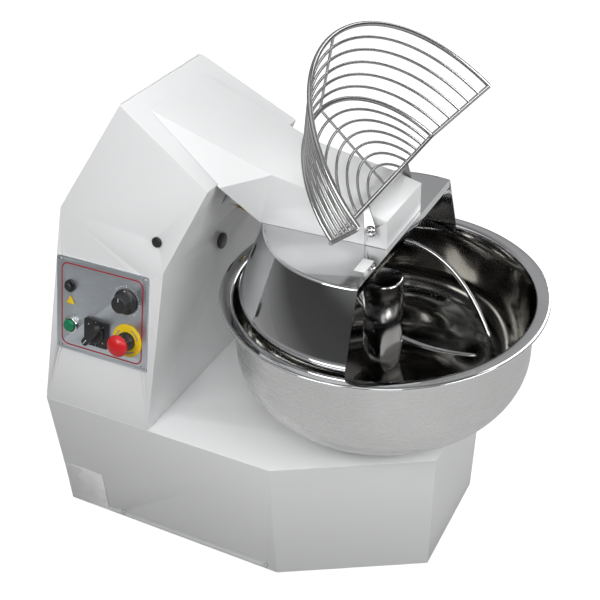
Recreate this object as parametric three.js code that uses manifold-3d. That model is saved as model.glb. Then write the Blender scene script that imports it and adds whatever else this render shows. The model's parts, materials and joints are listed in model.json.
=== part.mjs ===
// A fork dough mixer: sheet-metal base and tower, turning bowl with a central column, slanted
// two-pronged fork, fixed guard, hinged wire guard, control panel and the drive inside.
// Millimetres, +Z up, front of the machine towards -Y. The origin is on the floor, at the centre
// of the machine's footprint. Shapes are written about the bowl's axis and moved at the end.
import * as THREE from 'three';
import { mergeVertices } from 'three/addons/utils/BufferGeometryUtils.js';
import { ConvexGeometry } from 'three/addons/geometries/ConvexGeometry.js';
import Module from 'manifold-3d';

const wasm = await Module();
wasm.setup();

const { degToRad } = THREE.MathUtils;

// ---------- driving dimensions ----------
const GAP = 0.4;                 // air between neighbouring pieces
const SHEET = 3;                 // housing sheet

const BASE_HALF = 262;           // half width of the base at deck height
const REAR_Y = 560;              // back of the base
const SHOULDER_Y = 92;           // where the front chamfers start
const NOSE_Y = -152;             // front of the base
const NOSE_HALF = 120;           // half width of the front face
const DECK_Z = 260;
const SKIRT_BOTTOM_Z = 4;
const SKIRT_TAPER = 9;           // the skirt is this much smaller all round at its lower edge
const PLATE_Z = [12, 20];        // base plate
const FOOT_R = 25;

const LEAN = degToRad(14);       // the tower's sides lean in
const TOWER_PROFILE = [          // [y, z], anticlockwise seen from +X
  [REAR_Y, DECK_Z], [528, 618], [408, 808], [237, 700], [315, 550], [336, DECK_Z],
];

const GUARD_Z = 616;             // underside of the guard plate
const GUARD_SHEET = 2;
const GUARD_R = 200;
const GUARD_SKIRT_R = 246;
const GUARD_FRONT_Y = -42;

const HEAD_HALF = 73;            // half width of the nose block
const NOSE_BLOCK_Y = [-36, 1.6];
const HEAD_Z = GUARD_Z + GUARD_SHEET + GAP;

const BOWL_R = 256;
const BOWL_RIM_R = 280;
const BOWL_RIM_Z = 496;
const BOWL_FLOOR_Z = 272;
const BOWL_SHEET = 3;
const COLUMN_R = 34.5;
const COLUMN_TOP_Z = 517;

const FORK_X = 130;              // the fork axis lies in this plane
const FORK_ORIGIN = [FORK_X, 360.5, 618];
const FORK_TILT = degToRad(29.8);      // below the horizontal
const FORK_TURN = degToRad(-31.6);     // where the prongs point, about the fork axis
const FORK_START = 278.5;        // along the axis from FORK_ORIGIN
const FORK_LENGTH = 300.8;
const FORK_RADII = [25.3, 118.8, 91.3, 22.5];   // Bezier values of the prong's radius
const FORK_EXIT = 74;            // the axis leaves the tower here

const HINGE_Y = -11.5;           // wire guard hinge, along X
const HINGE_Z = 649.5;
const GRID_OPEN = degToRad(135.75);
const GRID_Z = 624;              // height of the closed guard's flat part
const GRID_CHORD_Y = -47.5;
const GRID_R = 205;
const GRID_PITCH = 21;
const GRID_RINGS = 6;            // thin rings on the flat part
const GRID_SLOPE = degToRad(57);
const GRID_SKIRT = 127;
const GRID_ROD_R = 2.3;
const GRID_EDGE_R = 4;
const ARM_X = [77, 80];

const PANEL_CENTRE = [437, 199.5];     // y, and distance up the side above the deck
const PANEL_SIZE = [192, 175];
const PANEL_SHEET = 2;

const MOTOR_Y = 458;
const MOTOR_Z = 132;
const MOTOR_R = 72;
const FORK_BELT_X = -96;
const BOWL_BELT_X = -142;
const BOWL_WORM = { y: 78, z: 102 };
const FORK_WORM = { along: 20, offset: 42 };
const FORK_SHAFT_R = 14;
const FORK_WHEEL_R = 22;
const BOWL_WHEEL_R = 62;
const PULLEY = { motorFork: 30, forkWorm: 45, motorBowl: 22, bowlWorm: 66 };

// Places on the panel: x towards the front of the machine, y up the side.
const CONTROLS = {
  button: [-67, 35],
  sign: [-66, 10],
  start: [-64, -37],
  selector: [-8, -39],
  timer: [51, 34],
  stop: [56, -37],
};
const PANEL_SCREWS = [[-88, -81], [88, -81], [-88, 81], [88, 81]];
const SELECTOR_TURN = degToRad(-39);

const CABLE_R = 5;
const CABLE_Y = 600;
const PLUG_R = 18;
const CENTRE_Y = (CABLE_Y + PLUG_R - BOWL_RIM_R) / 2;

// ---------- finishes: [colour, roughness, metalness] ----------
const FINISH = {
  white: [0xf2f3f4, 0.35, 0],
  stainless: [0xd3d6d8, 0.15, 1],
  panel: [0xa9b3ba, 0.45, 0.8],
  steel: [0x8f9397, 0.5, 1],
  iron: [0x55595d, 0.7, 0.6],
  bronze: [0xa9803f, 0.4, 1],
  brass: [0xc9a24a, 0.35, 1],
  black: [0x17181a, 0.45, 0],
  rubber: [0x101112, 0.9, 0],
  red: [0xc4161c, 0.35, 0],
  yellow: [0xf2c400, 0.4, 0],
  green: [0x0d7a4f, 0.35, 0],
  label: [0xf7f7f7, 0.5, 0],
};

// ---------- solids ----------
const vec = (x, y, z) => new THREE.Vector3(x, y, z);

// A closed three.js geometry as a manifold solid that faces outwards.
function solid(geometry) {
  const bare = new THREE.BufferGeometry().setAttribute('position', geometry.getAttribute('position'));
  if (geometry.index) bare.setIndex(geometry.index);
  const merged = mergeVertices(bare, 1e-4);
  const index = merged.index.array;
  const position = merged.getAttribute('position');
  const corner = [vec(), vec(), vec()];
  const kept = [];
  let volume = 0;
  for (let i = 0; i < index.length; i += 3) {
    const [a, b, c] = [index[i], index[i + 1], index[i + 2]];
    if (a === b || b === c || c === a) continue;
    corner.forEach((point, k) => point.fromBufferAttribute(position, index[i + k]));
    volume += corner[0].dot(corner[1].clone().cross(corner[2]));
    kept.push(a, b, c);
  }
  if (volume < 0) kept.reverse();
  return new wasm.Manifold(new wasm.Mesh({
    numProp: 3,
    vertProperties: new Float32Array(position.array),
    triVerts: new Uint32Array(kept),
  }));
}

function geometryOf(shape) {
  const mesh = shape.getMesh();
  const geometry = new THREE.BufferGeometry();
  geometry.setAttribute('position', new THREE.BufferAttribute(new Float32Array(mesh.vertProperties), 3));
  geometry.setIndex(new THREE.BufferAttribute(new Uint32Array(mesh.triVerts), 1));
  geometry.computeVertexNormals();
  return geometry;
}

const union = (shapes) => shapes.reduce((sum, shape) => sum.add(shape));
// Joins pieces that share whole faces, and fills the slivers that the join leaves between them.
const fuse = (shapes) => union(union(shapes).decompose().filter((piece) => piece.volume() > 0));
const hull = (points) => solid(new ConvexGeometry(points.map((p) => vec(...p))));

function box([x0, x1], [y0, y1], [z0, z1]) {
  const geometry = new THREE.BoxGeometry(x1 - x0, y1 - y0, z1 - z0);
  return solid(geometry.translate((x0 + x1) / 2, (y0 + y1) / 2, (z0 + z1) / 2));
}

// A round bar between two points.
function rod(from, to, radius, sides = 20) {
  const [start, end] = [vec(...from), vec(...to)];
  const span = end.clone().sub(start);
  const turn = new THREE.Quaternion().setFromUnitVectors(vec(0, 1, 0), span.clone().normalize());
  const geometry = new THREE.CylinderGeometry(radius, radius, span.length(), sides);
  const middle = start.add(end).multiplyScalar(0.5);
  return solid(geometry.applyQuaternion(turn).translate(middle.x, middle.y, middle.z));
}

// A closed [radius, height] profile turned about +Z.
function revolve(profile, segments = 48) {
  const points = profile.map(([r, z]) => new THREE.Vector2(r, z));
  return solid(new THREE.LatheGeometry(points, segments).rotateX(Math.PI / 2));
}

function ring(outer, inner, [z0, z1], segments = 32) {
  return revolve([[inner, z0], [outer, z0], [outer, z1], [inner, z1], [inner, z0]], segments);
}

function disc(radius, [z0, z1], segments = 24) {
  return revolve([[0, z0], [radius, z0], [radius, z1], [0, z1]], segments);
}

const AXIS_TURN = {
  x: new THREE.Matrix4().makeBasis(vec(0, 1, 0), vec(0, 0, 1), vec(1, 0, 0)),
  z: new THREE.Matrix4(),
};

// An outline pushed out along X or Z. Along X, the outline's own axes are Y and Z.
function extrude(outline, [from, to], axis = 'z', curveSegments = 3) {
  const drawn = outline instanceof THREE.Shape;
  const shape = drawn ? outline : new THREE.Shape(outline.map((p) => new THREE.Vector2(...p)));
  const geometry = new THREE.ExtrudeGeometry(shape, { depth: to - from, bevelEnabled: false, curveSegments });
  return solid(geometry.translate(0, 0, from).applyMatrix4(AXIS_TURN[axis]));
}

function roundedRectangle(width, height, radius) {
  const [x, y] = [width / 2, height / 2];
  const shape = new THREE.Shape();
  shape.moveTo(-x + radius, -y);
  shape.lineTo(x - radius, -y);
  shape.absarc(x - radius, -y + radius, radius, -Math.PI / 2, 0);
  shape.absarc(x - radius, y - radius, radius, 0, Math.PI / 2);
  shape.absarc(-x + radius, y - radius, radius, Math.PI / 2, Math.PI);
  shape.absarc(-x + radius, -y + radius, radius, Math.PI, 1.5 * Math.PI);
  return shape;
}

// A bar of an even number of sides along a smooth curve.
function tube(points, radius, steps, sides) {
  const outline = new THREE.Shape();
  outline.absarc(0, 0, radius, 0, 2 * Math.PI);
  const path = new THREE.CatmullRomCurve3(points.map((p) => vec(...p)));
  return solid(new THREE.ExtrudeGeometry(outline, {
    steps, curveSegments: sides / 2, bevelEnabled: false, extrudePath: path,
  }));
}

// A belt: a band round two circles [y, z, radius], lying in a plane of constant X.
function belt(first, second, [x0, x1], thickness) {
  const outline = ([y, z, r], grow) => {
    const sides = 20;
    const reach = (r + grow) / Math.cos(Math.PI / sides);
    return Array.from({ length: sides }, (_, k) => {
      const a = (k / sides) * 2 * Math.PI;
      return [y + reach * Math.cos(a), z + reach * Math.sin(a)];
    });
  };
  const band = (grow, xs) => hull([first, second].flatMap((c) => outline(c, grow))
    .flatMap(([y, z]) => xs.map((x) => [x, y, z])));
  return band(thickness, [x0, x1]).subtract(band(0, [x0 - 1, x1 + 1]));
}

// Offsets a closed anticlockwise outline inwards by the given distance.
function inset(outline, distance) {
  return outline.map((point, i) => {
    const before = outline[(i + outline.length - 1) % outline.length];
    const after = outline[(i + 1) % outline.length];
    const inward = ([ax, ay], [bx, by]) => {
      const length = Math.hypot(bx - ax, by - ay);
      return [-(by - ay) / length, (bx - ax) / length];
    };
    const [n1, n2] = [inward(before, point), inward(point, after)];
    const scale = distance / (1 + n1[0] * n2[0] + n1[1] * n2[1]);
    return [point[0] + (n1[0] + n2[0]) * scale, point[1] + (n1[1] + n2[1]) * scale];
  });
}

// ---------- the assembly tree ----------
const machine = new THREE.Group();

function add(name, shape, finish, parent = machine) {
  const [color, roughness, metalness] = FINISH[finish];
  const material = new THREE.MeshStandardMaterial({ color, roughness, metalness });
  const mesh = new THREE.Mesh(geometryOf(shape), material);
  mesh.name = name;
  parent.add(mesh);
  return mesh;
}

// ---------- base ----------
const SKIRT_OUTLINE = [
  [BASE_HALF, SHOULDER_Y], [BASE_HALF, REAR_Y], [-BASE_HALF, REAR_Y],
  [-BASE_HALF, SHOULDER_Y], [-NOSE_HALF, NOSE_Y], [NOSE_HALF, NOSE_Y],
];
const taperAt = (z) => SKIRT_TAPER * (DECK_Z - z) / (DECK_Z - SKIRT_BOTTOM_Z);

function skirtBody(wall, levels) {
  return hull(levels.flatMap((z) => inset(SKIRT_OUTLINE, taperAt(z) + wall).map(([x, y]) => [x, y, z])));
}

// Screws along the skirt's lower edge: side of the machine, and y.
const SKIRT_SCREWS = [[-1, 116], [-1, 430], [1, 116], [1, 430]];
const SCREW_Z = 16;

function skirtScrewLine([side, y]) {
  const face = side * (BASE_HALF - taperAt(SCREW_Z));
  return (depth) => [face - side * depth, y, SCREW_Z];
}

function buildBase() {
  const deckHole = disc(56, [DECK_Z - 20, DECK_Z + 10], 32);
  const towerWindow = box([-200, 200], [342, 545], [DECK_Z - 20, DECK_Z + 10]);
  const glandHole = rod([-150, REAR_Y - 40, 60], [-150, REAR_Y + 10, 60], 10.4);
  const shell = skirtBody(0, [SKIRT_BOTTOM_Z, DECK_Z])
    .subtract(skirtBody(SHEET, [0, DECK_Z - SHEET]))
    .subtract(deckHole)
    .subtract(towerWindow)
    .subtract(glandHole);
  const plate = skirtBody(SHEET + GAP, PLATE_Z);
  const holes = SKIRT_SCREWS.map((s) => rod(skirtScrewLine(s)(-5), skirtScrewLine(s)(18), 2.4, 12));
  add('base_housing', shell.subtract(union(holes)), 'white');
  add('base_plate', plate.subtract(union(holes)), 'steel');
  SKIRT_SCREWS.forEach((s, i) => {
    const at = skirtScrewLine(s);
    const head = rod(at(-2.6), at(-GAP), 4.5, 16);
    const shank = rod(at(-GAP - 0.1), at(14), 2, 12);
    add(`skirt_screw_${i + 1}`, head.add(shank), 'steel');
  });
  const feet = [[-200, 500], [200, 500], [-88, -95], [88, -95]];
  feet.forEach(([x, y], i) => {
    add(`foot_${i + 1}`, disc(FOOT_R, [0, PLATE_Z[0] - GAP], 28).translate([x, y, 0]), 'rubber');
  });
}

// ---------- tower ----------
const halfWidthAt = (z) => BASE_HALF - (z - DECK_Z) * Math.tan(LEAN);

// The tower's side profile between leaning sides. wall > 0 gives the hollow inside it.
function towerBody(wall) {
  const side = wall / Math.cos(LEAN);
  const outline = inset(TOWER_PROFILE, wall);
  if (wall > 0) {
    outline[0] = [outline[0][0] + 1, DECK_Z - 10];
    outline[5] = [outline[5][0], DECK_Z - 10];
  }
  const piece = (indices) => hull(indices.flatMap((i) => {
    const [y, z] = outline[i];
    return [[halfWidthAt(z) - side, y, z], [side - halfWidthAt(z), y, z]];
  }));
  return piece([0, 1, 4, 5]).add(piece([1, 2, 3, 4]));
}

// Points on the tower's left side: local axes are +X towards the front, +Y up the side, +Z out.
const panelFrame = new THREE.Group();
panelFrame.matrixAutoUpdate = false;
panelFrame.matrix.makeBasis(
  vec(0, -1, 0),
  vec(Math.sin(LEAN), 0, Math.cos(LEAN)),
  vec(-Math.cos(LEAN), 0, Math.sin(LEAN)),
);
panelFrame.matrix.setPosition(
  -(BASE_HALF - PANEL_CENTRE[1] * Math.sin(LEAN)),
  PANEL_CENTRE[0],
  DECK_Z + PANEL_CENTRE[1] * Math.cos(LEAN),
);
machine.add(panelFrame);

const toMachine = (shape, matrix) => shape.transform(matrix.toArray());

const SIDE_PLUG = { y: 328, z: 602, r: 9 };
const FRONT_PLUG = { x: -3, z: 515, r: 15 };
const FITTING = { x: 60, y: 312, z: 555 };   // where the fitting's axis meets the undercut face
const fittingPoint = (d) => [FITTING.x, FITTING.y - d, FITTING.z];
const PANEL_CUTOUT = [160, 140];

function frontFaceY(z) {
  const [top, bottom] = [TOWER_PROFILE[4], TOWER_PROFILE[5]];
  return bottom[0] + (top[0] - bottom[0]) * (z - bottom[1]) / (top[1] - bottom[1]);
}

// The bent sheet that closes the back: it follows the two rear faces of the profile.
function rearSheet(margin, near, far) {
  const [a, f, g] = TOWER_PROFILE;
  const along = (p, q, distance) => {
    const length = Math.hypot(q[0] - p[0], q[1] - p[1]);
    return [p[0] + (q[0] - p[0]) * distance / length, p[1] + (q[1] - p[1]) * distance / length];
  };
  const low = along(a, f, margin);
  const high = along(g, f, margin);
  const grow = (offset) => inset([low, f, high, [300, 500]], -offset).slice(0, 3);
  const piece = (indices) => {
    const edge = [near, far].flatMap((offset) => indices.map((i) => grow(offset)[i]));
    return hull(edge.flatMap(([y, z]) => {
      const half = halfWidthAt(z) - margin;
      return [[half, y, z], [-half, y, z]];
    }));
  };
  return piece([0, 1]).add(piece([1, 2]));
}

function buildTower() {
  const side = halfWidthAt(SIDE_PLUG.z);
  const outward = [-Math.cos(LEAN), 0, Math.sin(LEAN)];
  const sidePoint = (d) => [-side + outward[0] * d, SIDE_PLUG.y, SIDE_PLUG.z + outward[2] * d];
  const frontPoint = (d) => [FRONT_PLUG.x, frontFaceY(FRONT_PLUG.z) - d, FRONT_PLUG.z];
  const panelHole = extrude(roundedRectangle(...PANEL_CUTOUT, 6), [-20, 5]);
  const forkHole = toMachine(disc(31, [-FORK_EXIT - 40, -FORK_EXIT + 40], 32), forkLine.matrix);
  const beamHole = box([-52, 52], [200, 330], [621, 672]);
  const screwHoles = PANEL_SCREWS.map(([x, y]) => disc(2.6, [-20, 5], 12).translate([x, y, 0]));
  const fittingHole = rod(fittingPoint(-20), fittingPoint(20), 4.4, 16);
  const shell = towerBody(0)
    .subtract(towerBody(SHEET))
    .subtract(rearSheet(16, -12, 8))
    .subtract(toMachine(panelHole, panelFrame.matrix))
    .subtract(forkHole)
    .subtract(beamHole)
    .subtract(toMachine(union(screwHoles), panelFrame.matrix))
    .subtract(fittingHole)
    .subtract(rod(sidePoint(-12), sidePoint(8), SIDE_PLUG.r - 2, 24))
    .subtract(rod(frontPoint(-12), frontPoint(8), FRONT_PLUG.r - 3, 24));
  add('tower_housing', shell.translate([0, 0, GAP]), 'white');

  add('side_plug', rod(sidePoint(1), sidePoint(4), SIDE_PLUG.r, 24)
    .add(rod(sidePoint(-6), sidePoint(2), SIDE_PLUG.r - 2.5, 24)), 'black');
  add('front_plug', rod(frontPoint(1.8), frontPoint(4.8), FRONT_PLUG.r, 28)
    .add(rod(frontPoint(-6), frontPoint(2), FRONT_PLUG.r - 3.5, 28)), 'black');

  const vents = [];
  for (let row = 0; row < 5; row += 1) {
    for (const x of [-75, 75]) {
      vents.push(box([x - 45, x + 45], [520, 580], [330 + row * 18, 336 + row * 18]));
    }
  }
  add('rear_cover', rearSheet(4, GAP, GAP + 2).subtract(union(vents)).translate([0, 0, GAP]), 'white');
}

// ---------- head ----------
const towerPlaneZ = (y) => 700 + (y - 237) * 108 / 171;

function buildHead() {
  // Half of each outline: the upper hull runs back up the tower, the lower one forward to the nose.
  const upper = [[47, 400, 797], [73, 164, 709], [87, 387, 794], [126, 232, 697], [76, 190, HEAD_Z]];
  const lower = [[73, 164, 709], [73, 2, 678], [73, 2, HEAD_Z], [76, 190, HEAD_Z]];
  const mirror = (points) => points.flatMap(([x, y, z]) => [[x, y, z], [-x, y, z]]);
  const outer = hull(mirror(upper)).add(hull(mirror(lower)));

  const inside = ([x, y, z]) => [x - SHEET * 1.25, y, z - SHEET * 1.2];
  const upperInside = [
    ...upper.slice(0, 4).map(inside), [76 - SHEET * 1.25, 192, HEAD_Z - 12], [87, 420, 700], [110, 260, 640],
  ];
  const lowerInside = [
    inside(lower[0]), inside([73, -4, 677]),
    [73 - SHEET * 1.25, -4, HEAD_Z - 12], [76 - SHEET * 1.25, 192, HEAD_Z - 12],
  ];
  const inner = hull(mirror(upperInside)).add(hull(mirror(lowerInside)));
  // The cowl stops just clear of the tower's slanted face and its undercut.
  const clearance = 1.2;
  const behind = extrude([
    [237 - clearance, 701], [430, towerPlaneZ(430) + clearance], [430, 500], [337, 500],
    [315 - clearance, 550],
  ], [-200, 200], 'x');
  add('head_cowl', outer.subtract(inner).subtract(behind), 'white');

  const [front, back] = NOSE_BLOCK_Y;
  const nose = hull(mirror([
    [HEAD_HALF, front, HEAD_Z], [HEAD_HALF, back, HEAD_Z], [HEAD_HALF, front, 668], [HEAD_HALF, back, 678],
  ]));
  const pocket = box([-HEAD_HALF + 4, HEAD_HALF - 4], [front + 4, back + 5], [HEAD_Z - 5, 663]);
  const boltHoles = rod([-90, HINGE_Y, HINGE_Z], [90, HINGE_Y, HINGE_Z], 5.4, 20);
  add('nose_block', nose.subtract(pocket).subtract(boltHoles), 'white');

  for (const [name, side] of [['hinge_bolt_left', -1], ['hinge_bolt_right', 1]]) {
    const at = (x) => [side * x, HINGE_Y, HINGE_Z];
    const dome = revolve([[0, 0], [10, 0], [9.4, 2.6], [7.4, 4.9], [4, 6.3], [0, 6.8]], 24);
    const upright = geometryOf(dome).rotateY(side * Math.PI / 2);
    const turned = solid(upright.translate(side * (ARM_X[1] + 0.6), HINGE_Y, HINGE_Z));
    const nut = rod(at(60), at(HEAD_HALF - 4.6), 8, 6);
    add(name, turned.add(rod(at(62), at(ARM_X[1] + 1), 5, 20)).add(nut), 'stainless');
  }

  const beam = box([-48, 48], [-24, 372], [626, 658])
    .subtract(box([-44, 44], [-30, 368], [630, 654]));
  add('head_beam', beam, 'steel');
  const column = box([-48, 48], [345, 372], [PLATE_Z[1] + GAP, 626 - GAP])
    .subtract(box([-44, 44], [349, 368], [0, 700]));
  add('frame_column', column, 'steel');
  add('guard_switch', box([-30, -4], [-29.5, -25.5], [632, 656])
    .add(box([-28, -6], [-26, -24.8], [634, 654])), 'black');
}

// ---------- fixed guard ----------
function wedge(from, to, radius) {
  const points = [[0, 0]];
  const steps = 10;
  for (let k = 0; k <= steps; k += 1) {
    const a = from + (to - from) * k / steps;
    points.push([radius * Math.cos(a), radius * Math.sin(a)]);
  }
  return extrude(points, [400, 700]);
}

const GUARD_LEFT_END = degToRad(90 + 21);
const GUARD_RIGHT_END = degToRad(90 - 43);

function buildGuard() {
  const t = GUARD_SHEET;
  const top = GUARD_Z + t;
  const shell = revolve([
    [GUARD_R - 14, GUARD_Z], [GUARD_R - 1, GUARD_Z], [GUARD_SKIRT_R - t, 505], [GUARD_SKIRT_R - t, 484],
    [GUARD_SKIRT_R, 484], [GUARD_SKIRT_R, 505.5], [GUARD_R, top], [GUARD_R - 14, top],
    [GUARD_R - 14, GUARD_Z],
  ], 72);
  const everywhere = box([-400, 400], [GUARD_FRONT_Y, 400], [400, 700]);
  const left = shell.intersect(wedge(GUARD_LEFT_END, degToRad(230), 700)).intersect(everywhere);
  const right = shell.intersect(wedge(degToRad(-50), GUARD_RIGHT_END, 700)).intersect(everywhere);
  const plate = disc(GUARD_R - 2, [GUARD_Z, top], 72)
    .intersect(box([-400, 400], [GUARD_FRONT_Y, 188], [400, 700]));
  const lip = box([-194, 194], [GUARD_FRONT_Y, GUARD_FRONT_Y + t], [GUARD_Z - 12, top]);
  const flange = (angle, turn) => {
    const along = [Math.cos(angle), Math.sin(angle)];
    const normal = [-Math.sin(angle) * turn, Math.cos(angle) * turn];
    const at = (r, n, z) => [along[0] * r + normal[0] * n, along[1] * r + normal[1] * n, z];
    const corners = [
      [GUARD_R - 2, top - 2], [GUARD_SKIRT_R - 2, 505], [GUARD_SKIRT_R - 2, 484],
      [GUARD_R - 26, 484], [GUARD_R - 26, top - 2],
    ];
    return hull(corners.flatMap(([r, z]) => [at(r, -0.3, z), at(r, t, z)]));
  };
  add('guard', union([left, right, plate, lip, flange(GUARD_LEFT_END, -1)]), 'stainless');
  add('guard_label', box([-150, -112], [-32, -14], [top + 0.3, top + 0.9]), 'label');
}

// ---------- wire guard, modelled closed and turned open about its hinge ----------
const grid = new THREE.Group();
grid.position.set(0, HINGE_Y, HINGE_Z);
grid.rotation.x = -GRID_OPEN;
machine.add(grid);

// A ring of the guard in front of the chord, at the given radius and height.
function arcRod(radius, z, rodRadius) {
  const steps = Math.round(5 + radius / 28);
  const reach = Math.asin(Math.min(1, -GRID_CHORD_Y / radius));
  const points = [];
  for (let k = 0; k <= steps; k += 1) {
    const a = Math.PI + reach + (Math.PI - 2 * reach) * k / steps;
    points.push([radius * Math.cos(a), radius * Math.sin(a), z]);
  }
  return tube(points, rodRadius, steps, rodRadius > GRID_ROD_R ? 6 : 4);
}

function buildGrid() {
  const rods = [];
  for (let k = 0; k <= GRID_RINGS; k += 1) {
    const radius = GRID_R - GRID_PITCH * k;
    rods.push(arcRod(radius, GRID_Z, k ? GRID_ROD_R : GRID_EDGE_R));
  }
  const skirtAt = (distance) => [
    GRID_R + distance * Math.cos(GRID_SLOPE), GRID_Z - distance * Math.sin(GRID_SLOPE),
  ];
  for (let k = 1; k <= 5; k += 1) rods.push(arcRod(...skirtAt(GRID_PITCH * k), GRID_ROD_R));
  const [rimR, rimZ] = skirtAt(GRID_SKIRT);
  rods.push(arcRod(rimR, rimZ, GRID_EDGE_R));
  rods.push(rod([-GRID_R, GRID_CHORD_Y, GRID_Z], [GRID_R, GRID_CHORD_Y, GRID_Z], GRID_EDGE_R, 10));
  rods.push(rod([0, GRID_CHORD_Y, GRID_Z], [0, -GRID_R, GRID_Z], GRID_ROD_R, 8));
  rods.push(rod([0, -GRID_R, GRID_Z], [0, -rimR, rimZ], GRID_ROD_R, 8));
  for (const side of [-1, 1]) {
    const end = (radius) => side * Math.sqrt(radius ** 2 - GRID_CHORD_Y ** 2);
    rods.push(rod([end(GRID_R), GRID_CHORD_Y, GRID_Z], [end(rimR), GRID_CHORD_Y, rimZ], GRID_EDGE_R, 10));
  }
  const frame = union(rods);
  const arms = [-1, 1].map((side) => {
    const [x0, x1] = side > 0 ? ARM_X : [-ARM_X[1], -ARM_X[0]];
    const circle = (y, z, r, n) => Array.from({ length: n }, (_, k) => {
      const a = 2 * Math.PI * k / n;
      return [y + r * Math.cos(a), z + r * Math.sin(a)];
    });
    const outline = [...circle(HINGE_Y, HINGE_Z, 10, 20), ...circle(GRID_CHORD_Y, GRID_Z, 4.2, 12)];
    const plate = hull(outline.flatMap(([y, z]) => [[x0, y, z], [x1, y, z]]));
    return plate.subtract(rod([x0 - 1, HINGE_Y, HINGE_Z], [x1 + 1, HINGE_Y, HINGE_Z], 5.4, 20));
  });
  const whole = union([frame, ...arms]).translate([0, -HINGE_Y, -HINGE_Z]);
  add('wire_guard', whole, 'stainless', grid);
}

// ---------- bowl ----------
function bowlProfile() {
  const corner = { a: 141, h: 123 };
  const centre = { r: BOWL_R - corner.a, z: BOWL_FLOOR_Z + corner.h };
  const arc = (offset, steps) => Array.from({ length: steps + 1 }, (_, k) => {
    const t = (k / steps) * Math.PI / 2;
    return [centre.r + (corner.a - offset) * Math.sin(t), centre.z - (corner.h - offset) * Math.cos(t)];
  });
  const t = BOWL_SHEET;
  const outside = [
    ...arc(0, 6), [BOWL_R, 478], [BOWL_R + 2.5, 486], [BOWL_R + 8, 490.5], [BOWL_RIM_R - 3, 490],
    [BOWL_RIM_R, 492.5], [BOWL_RIM_R - 1.5, BOWL_RIM_Z - 0.5],
  ];
  const inside = [
    [BOWL_RIM_R - 5, BOWL_RIM_Z], [BOWL_R + 4, BOWL_RIM_Z - 1.5], [BOWL_R - 1.5, 489], [BOWL_R - t, 480],
    ...arc(t, 6).reverse(),
  ];
  const columnOutside = [
    [62, BOWL_FLOOR_Z + t], [48, BOWL_FLOOR_Z + 9], [39, BOWL_FLOOR_Z + 26], [COLUMN_R, BOWL_FLOOR_Z + 60],
    [COLUMN_R, COLUMN_TOP_Z - 4], [COLUMN_R - 4, COLUMN_TOP_Z], [0, COLUMN_TOP_Z],
  ];
  const hollow = [
    [0, COLUMN_TOP_Z - 4], [COLUMN_R - t, COLUMN_TOP_Z - 6], [COLUMN_R - t, BOWL_FLOOR_Z], outside[0],
  ];
  return [...outside, ...inside, ...columnOutside, ...hollow];
}

function buildBowl() {
  add('bowl', revolve(bowlProfile(), 44), 'stainless');
  const flange = disc(54, [DECK_Z + 2, BOWL_FLOOR_Z - GAP], 28);
  const shaft = disc(17.5, [84, DECK_Z + 3], 28);
  add('bowl_shaft', flange.add(shaft), 'steel');
  add('bowl_worm_wheel', toothedWheel(BOWL_WHEEL_R, 17.9, [92, 112], 28), 'bronze');
  const housing = box([-78, 78], [-76, 132], [PLATE_Z[1] + GAP, 190])
    .subtract(box([-70, 70], [-68, 124], [60, 150]))
    .subtract(disc(18.2, [100, 250], 32))
    .subtract(disc(18.2, [70, 110], 32))
    .subtract(rod([-100, BOWL_WORM.y, BOWL_WORM.z], [100, BOWL_WORM.y, BOWL_WORM.z], 9.4, 24));
  add('bowl_gearbox', housing, 'iron');
  add('bowl_bearing', ring(40, 18, [190 + GAP, 236], 24), 'iron');
}

function toothedWheel(radius, bore, [z0, z1], teeth) {
  const outline = new THREE.Shape();
  const depth = 4;
  for (let k = 0; k < teeth; k += 1) {
    const step = 2 * Math.PI / teeth;
    const at = (fraction, r) => [r * Math.cos((k + fraction) * step), r * Math.sin((k + fraction) * step)];
    const corners = [at(0, radius - depth), at(0.3, radius - depth), at(0.42, radius), at(0.78, radius)];
    corners.forEach((p, i) => (k || i ? outline.lineTo(...p) : outline.moveTo(...p)));
  }
  return extrude(outline, [z0, z1]).subtract(disc(bore, [z0 - 1, z1 + 1], 28));
}

// ---------- fork and its drive: local +Z runs back up the fork axis ----------
const forkLine = new THREE.Group();
forkLine.position.set(...FORK_ORIGIN);
forkLine.rotation.x = FORK_TILT - Math.PI / 2;
forkLine.updateMatrix();
machine.add(forkLine);

function bezier([a, b, c, d], t) {
  const u = 1 - t;
  return a * u ** 3 + 3 * b * u * u * t + 3 * c * u * t * t + d * t ** 3;
}

// One prong: rounded cross-sections along a bowed centre line, joined pair by pair.
function prong(side) {
  const steps = 14;
  const sections = [];
  for (let k = 0; k <= steps; k += 1) {
    const t = k / steps;
    const radius = bezier(FORK_RADII, t);
    const slope = (bezier(FORK_RADII, t + 1e-3) - bezier(FORK_RADII, t - 1e-3)) / 2e-3;
    const tangent = new THREE.Vector2(slope, -FORK_LENGTH).normalize();
    const [wide, thick] = [8 - 3 * t, 5.5 - 1.5 * t];
    sections.push(Array.from({ length: 8 }, (_, i) => {
      const a = (i + 0.5) * Math.PI / 4;
      const across = Math.cos(a) * thick;
      const z = -FORK_START - FORK_LENGTH * t;
      return [side * (radius - tangent.y * across), Math.sin(a) * wide, z + tangent.x * across];
    }));
  }
  return fuse(sections.slice(1).map((section, k) => hull([...sections[k], ...section])));
}

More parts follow.
